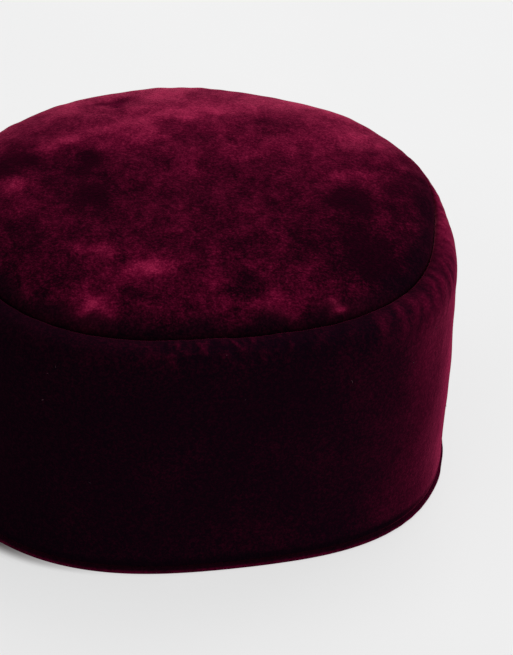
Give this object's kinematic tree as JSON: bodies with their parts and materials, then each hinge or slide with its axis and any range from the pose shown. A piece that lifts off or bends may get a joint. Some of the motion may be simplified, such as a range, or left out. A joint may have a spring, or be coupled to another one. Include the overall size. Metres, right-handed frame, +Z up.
{
  "type": "pillbox hat",
  "caption": "Velvet pillbox hat: a softly domed top sewn inside the rolled shoulder of an upright band, with a narrow turned roll along the open lower edge.",
  "frame": {"origin": "middle of the hat's box at the surface that it stands on, in the plane of the open lower edge", "axes": "+Z up out of the crown, -Y towards the side seen first, +X to the right of that side"},
  "size_m": [0.1782, 0.1828, 0.0918],
  "materials": {
    "tip_velvet": "crushed silk velvet, deep wine red with a pink sheen",
    "band_velvet": "silk velvet, darker wine red, pile brushed downwards",
    "edge_velvet": "silk velvet turned over the edge in a tight roll"
  },
  "bodies": {
    "root": {"crown_tip": "tip_velvet", "side_band": "band_velvet", "edge_roll": "edge_velvet"}
  },
  "joints": []
}
